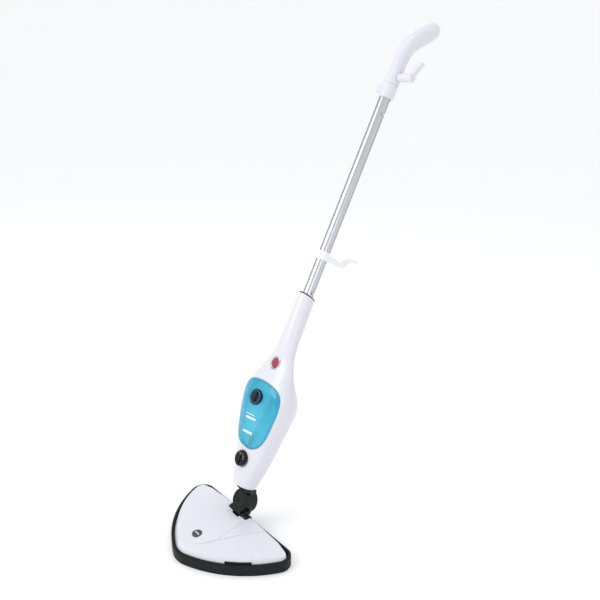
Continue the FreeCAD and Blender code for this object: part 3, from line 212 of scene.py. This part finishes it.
# Painted dark reflection: the edge tint is black, so the tube's reflection fades towards its edges as if
# dark surroundings were reflected there.
TUBE.node_tree.nodes["Principled BSDF"].inputs["Specular Tint"].default_value = (0.0, 0.0, 0.0, 1.0)
CHROME = brushed("bezel_chrome", (0.60, 0.61, 0.63), 0.22, stretch=8.0, bump=0.02)
HEATER = brushed("heater_steel", (0.40, 0.40, 0.42), 0.4)
BOILER = brushed("boiler_alloy", (0.68, 0.68, 0.70), 0.45, stretch=4.0, bump=0.3)
BRASS = brushed("valve_brass", (0.70, 0.52, 0.22), 0.30, stretch=3.0)
SINTER = plastic("filter_brass", (0.20, 0.22, 0.07), 0.55, grain=1500.0, bump=0.8, tint=0.4, metal=0.6)

BY_SLOT = {
    "casing_white": WHITE, "black_plastic": BLACK, "tray_black": TRAY, "badge_grey": GREY,
    "badge_light": LIGHT, "hook_fabric": FABRIC, "screw_steel": STEEL, "washer_white": WASHER,
    "seal_rubber": SEAL, "tank_blue": TANK, "cap_navy": NAVY, "filter_brass": SINTER, "valve_brass": BRASS,
    "boiler_alloy": BOILER, "hose_silicone": HOSE, "clear_hose": CLEAR, "heater_steel": HEATER,
    "board_green": BOARD, "bezel_chrome": CHROME, "button_red": RED, "spring_steel": SPRING,
    "tube_metal": TUBE,
}

for part in frame["record"]["subparts"]:
    item = NODES[part["node"]]
    item.data.materials.clear()
    item.data.materials.append(BY_SLOT[part["material_slot"]])
NODES["top_cover"].data.materials[0] = COVER
NODES["cord_clip"].data.materials[0] = CLIP
for name in ("knuckle", "axle_cap", "steam_knob", "swivel_stem"):
    NODES[name].data.materials[0] = GLOSS_BLACK


# ---------------------------------------------------------------- mesh helpers
def piece(name, points, faces, material, body):
    """New smooth mesh that rides on a body and takes the given material."""
    mesh = bpy.data.meshes.new(name)
    mesh.from_pydata([tuple(p) for p in points], [], faces)
    mesh.materials.append(material)
    mesh.update()
    made = bpy.data.objects.new(name, mesh)
    bpy.context.scene.collection.objects.link(made)
    for polygon in mesh.polygons:
        polygon.use_smooth = True
    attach(made, body)
    return made


def surface_of(name):
    """Tree of a CAD node's faces, for casting rays."""
    mesh = NODES[name].data
    return BVHTree.FromPolygons([v.co for v in mesh.vertices], [p.vertices for p in mesh.polygons])


RAY_START = 80.0 * MM
UNDERSIDE = 0.2


def printed_patch(name, target, spots, columns, lift, material, body):
    """Thin mark on the front: a grid of points dropped on to a surface and lifted just clear of it."""
    tree = surface_of(target)
    rows = len(spots) // columns
    top, low = [], []
    for spot in spots:
        hit, normal, _, _ = tree.ray_cast(spot - BACK * RAY_START, BACK)
        if hit is None:
            return None
        if normal.dot(BACK) > 0:
            normal = -normal
        top.append(hit + normal * lift)
        low.append(hit + normal * (lift * UNDERSIDE))
    points = top + low
    count = len(top)
    faces = []
    for r in range(rows - 1):
        for c in range(columns - 1):
            a = r * columns + c
            quad = (a, a + 1, a + columns + 1, a + columns)
            faces.append(quad)
            faces.append(tuple(count + i for i in reversed(quad)))
    rim = list(range(columns)) + [r * columns + columns - 1 for r in range(1, rows)]
    rim += [(rows - 1) * columns + c for c in range(columns - 2, -1, -1)]
    rim += [r * columns for r in range(rows - 2, 0, -1)]
    for i, a in enumerate(rim):
        b = rim[(i + 1) % len(rim)]
        faces.append((b, a, count + a, count + b))
    return piece(name, points, faces, material, body)


# ---------------------------------------------------------------- marks on the tank, and painted shade lines along its ridges and rim
FRONT_OF_BODY = -90.0
PRINT_LIFT = 0.15 * MM
RIDGE_LIFT = 0.3 * MM


def strip_spots(path, width, rows=3):
    """Grid of points in front of the body, along a path of (x, w) places, `width` millimetres across."""
    spots = []
    for r in range(rows):
        for i, (x, w) in enumerate(path):
            x0, w0 = path[max(i - 1, 0)]
            x1, w1 = path[min(i + 1, len(path) - 1)]
            run = math.hypot(x1 - x0, w1 - w0)
            side = (r / (rows - 1) - 0.5) * width
            spots.append(wand(x + side * (w1 - w0) / run, FRONT_OF_BODY, w - side * (x1 - x0) / run))
    return spots


def curve_path(points, count):
    """Smooth run of `count` places through a few (x, w) points."""
    path = []
    for i in range(count):
        t = i / (count - 1) * (len(points) - 1)
        k = min(int(t), len(points) - 2)
        u = t - k
        p0, p1 = points[max(k - 1, 0)], points[k]
        p2, p3 = points[k + 1], points[min(k + 2, len(points) - 1)]
        spot = []
        for a, b, c, d in zip(p0, p1, p2, p3):
            square, cube = 2 * a - 5 * b + 4 * c - d, 3 * b - a - 3 * c + d
            spot.append(0.5 * (2 * b + (c - a) * u + square * u * u + cube * u ** 3))
        path.append(tuple(spot))
    return path


MARK_COLUMNS, MARK_ROWS = 16, 4
MARKS = {
    "tank_mark_thin": ((-20.5, 183.2), (8.0, 185.0), 1.5),
    "tank_mark_upper": ((-18.5, 175.6), (12.5, 178.8), 4.6),
    "tank_mark_lower": ((-21.0, 146.6), (11.0, 149.6), 4.6),
}
for label, (start, end, width) in MARKS.items():
    path = curve_path([start, end], MARK_COLUMNS)
    spots = strip_spots(path, width, MARK_ROWS)
    printed_patch(label, "water_tank", spots, len(path), PRINT_LIFT, LIGHT, "wand")

# Painted shade: darker blue lines drawn along the tank's ridges.
RIDGE_SHADE_LINES = {
    "tank_ridge_shade_left": ([(-29.0, 251.0), (-34.0, 228.0), (-32.0, 203.0), (-25.5, 180.0), (-21.5, 156.0),
                         (-16.5, 141.0), (-4.0, 131.0)], 1.6, 34),
    "tank_ridge_shade_right": ([(37.0, 236.0), (38.0, 221.0), (35.0, 209.0), (31.5, 196.0)], 1.4, 20),
}
for label, (points, width, count) in RIDGE_SHADE_LINES.items():
    path = curve_path(points, count)
    printed_patch(label, "water_tank", strip_spots(path, width), count, RIDGE_LIFT, EDGE_SHADE_BLUE, "wand")

# Painted shade: a darker blue line just inside the tank's outline, for the darker edge of the clear plastic.
TANK_EDGE = [(0.0, 118.5), (18.0, 121.0), (31.0, 129.0), (39.5, 141.0), (45.0, 156.0), (50.0, 178.0),
             (54.0, 202.0), (55.0, 222.0), (51.5, 238.0), (42.0, 248.5), (24.0, 254.5), (0.0, 256.5)]
TANK_MID = 188.0
RIM_INSET = 0.974
RIM_COLUMNS = 120
RIM_WIDTH = 1.5
half_rim = [(x * RIM_INSET, TANK_MID + (w - TANK_MID) * RIM_INSET) for x, w in TANK_EDGE]
rim = half_rim + [(-x, w) for x, w in half_rim[-2:0:-1]] + [half_rim[0]]
rim_path = curve_path(rim, RIM_COLUMNS)
printed_patch("tank_rim_shade", "water_tank", strip_spots(rim_path, RIM_WIDTH), RIM_COLUMNS, RIDGE_LIFT, EDGE_SHADE_BLUE,
              "wand")


# ---------------------------------------------------------------- ring on the cap, in lighter navy as a painted highlight, and marks on the knob
SHOULDER_HEIGHT, SHOULDER_INSET = 0.7, 0.25


def ring_piece(name, centre, inner, outer, height, material, body, sides=96):
    """Raised ring with rounded top, facing forwards; sizes in millimetres."""
    shoulder, inset = -height * SHOULDER_HEIGHT, SHOULDER_INSET * (outer - inner)
    section = [(inner, 0.0), (inner, shoulder), (inner + inset, -height), (outer - inset, -height),
               (outer, shoulder), (outer, 0.0)]
    points, faces = [], []
    for k in range(sides):
        turn = 2 * math.pi * k / sides
        for radius, depth in section:
            points.append(wand(centre[0] + radius * math.cos(turn), centre[1] + depth,
                               centre[2] + radius * math.sin(turn)))
    count = len(section)
    for k in range(sides):
        a, b = k * count, ((k + 1) % sides) * count
        for i in range(count):
            j = (i + 1) % count
            faces.append((a + i, a + j, b + j, b + i))
    return piece(name, points, faces, material, body)


CAP_W = 222.0
CAP_FACE_V = -68.7
CAP_RING_SINK = 0.2
CAP_RING_INNER, CAP_RING_OUTER, CAP_RING_HEIGHT = 11.8, 13.4, 0.9
# Raised ring on the cap, coloured lighter navy as a painted highlight.
ring_piece("cap_ring", (0.0, CAP_FACE_V + CAP_RING_SINK, CAP_W), CAP_RING_INNER, CAP_RING_OUTER,
           CAP_RING_HEIGHT, CAP_HIGHLIGHT, "cap")

KNOB_W = 94.0
TICKS, TICK_START, TICK_STEP, TICK_WIDTH = 5, math.radians(15.0), math.radians(22.0), 0.9
TICK_RADII = [9.6, 10.5, 11.5, 12.4]
for step in range(TICKS):
    turn = TICK_START + TICK_STEP * step
    path = [(radius * math.cos(turn), KNOB_W + radius * math.sin(turn)) for radius in TICK_RADII]
    printed_patch("knob_tick_%d" % step, "steam_knob", strip_spots(path, TICK_WIDTH), len(path), PRINT_LIFT,
                  LIGHT, "knob")

# ---------------------------------------------------------------- floor, light and camera
FLAT_R, RISE, WALL_TOP, STEPS, SPOKES = 5.0, 7.0, 5.4, 14, 96
INNER_R = 2.0
profile = [(0.0, 0.0), (INNER_R, 0.0), (FLAT_R, 0.0)]
profile += [(FLAT_R + RISE * i / STEPS, WALL_TOP * (i / STEPS) ** 2) for i in range(1, STEPS + 1)]
floor_points = [(0.0, 0.0, 0.0)]
for radius, height in profile[1:]:
    for k in range(SPOKES):
        turn = 2 * math.pi * k / SPOKES
        floor_points.append((radius * math.cos(turn), radius * math.sin(turn), height))
floor_faces = [(0, 1 + k, 1 + (k + 1) % SPOKES) for k in range(SPOKES)]
for ring in range(len(profile) - 2):
    low, high = 1 + ring * SPOKES, 1 + (ring + 1) * SPOKES
    for k in range(SPOKES):
        after = (k + 1) % SPOKES
        floor_faces.append((low + k, high + k, high + after, low + after))
floor_mesh = bpy.data.meshes.new("floor")
floor_mesh.from_pydata(floor_points, [], floor_faces)
for polygon in floor_mesh.polygons:
    polygon.use_smooth = True
floor = bpy.data.objects.new("floor", floor_mesh)
bpy.context.scene.collection.objects.link(floor)
FLOOR_GLOW = {"Emission Color": (1.0, 1.0, 1.0, 1.0), "Emission Strength": 0.14}
floor_mesh.materials.append(plastic("floor_pale", (0.90, 0.90, 0.90), 0.8, grain=40.0, bump=0.0, tint=0.0,
                                    settings=FLOOR_GLOW))

WORLD_COLOUR, WORLD_STRENGTH = (0.97, 0.98, 1.0, 1.0), 0.88
world = bpy.data.worlds.new("studio")
world.use_nodes = True
world.node_tree.nodes["Background"].inputs["Color"].default_value = WORLD_COLOUR
world.node_tree.nodes["Background"].inputs["Strength"].default_value = WORLD_STRENGTH
bpy.context.scene.world = world
bpy.context.scene.view_settings.view_transform = "Standard"


AIM = (0.0, 0.2, 0.4)


def area_light(name, place, size, power):
    """Square soft light that faces the middle of the mop."""
    data = bpy.data.lights.new(name, "AREA")
    data.shape = "SQUARE"
    data.size = size
    data.energy = power
    lamp = bpy.data.objects.new(name, data)
    bpy.context.scene.collection.objects.link(lamp)
    lamp.location = place
    lamp.rotation_euler = (Vector(AIM) - Vector(place)).to_track_quat("-Z", "Y").to_euler()


LIGHTS = {"key": ((-0.9, -2.1, 2.2), 1.6, 26.0), "fill": ((2.4, -1.2, 1.2), 1.2, 4.0),
          "top": ((0.0, 0.3, 3.0), 1.6, 8.0)}
for label, (place, size, power) in LIGHTS.items():
    area_light(label, place, size, power)

CAMERA_PLACE = Vector((0.961, -0.593, 0.908))
AZIMUTH = math.radians(49.71)
ELEVATION = math.radians(19.27)
ROLL = math.radians(0.55)
LENS, SENSOR = 40.29, 36.0
camera_data = bpy.data.cameras.new("camera")
camera_data.lens = LENS
camera_data.sensor_width = SENSOR
camera = bpy.data.objects.new("camera", camera_data)
bpy.context.scene.collection.objects.link(camera)
camera.matrix_world = (Matrix.Translation(CAMERA_PLACE) @ Matrix.Rotation(AZIMUTH, 4, "Z")
                       @ Matrix.Rotation(math.radians(90.0) - ELEVATION, 4, "X")
                       @ Matrix.Rotation(ROLL, 4, "Z"))
bpy.context.scene.camera = camera

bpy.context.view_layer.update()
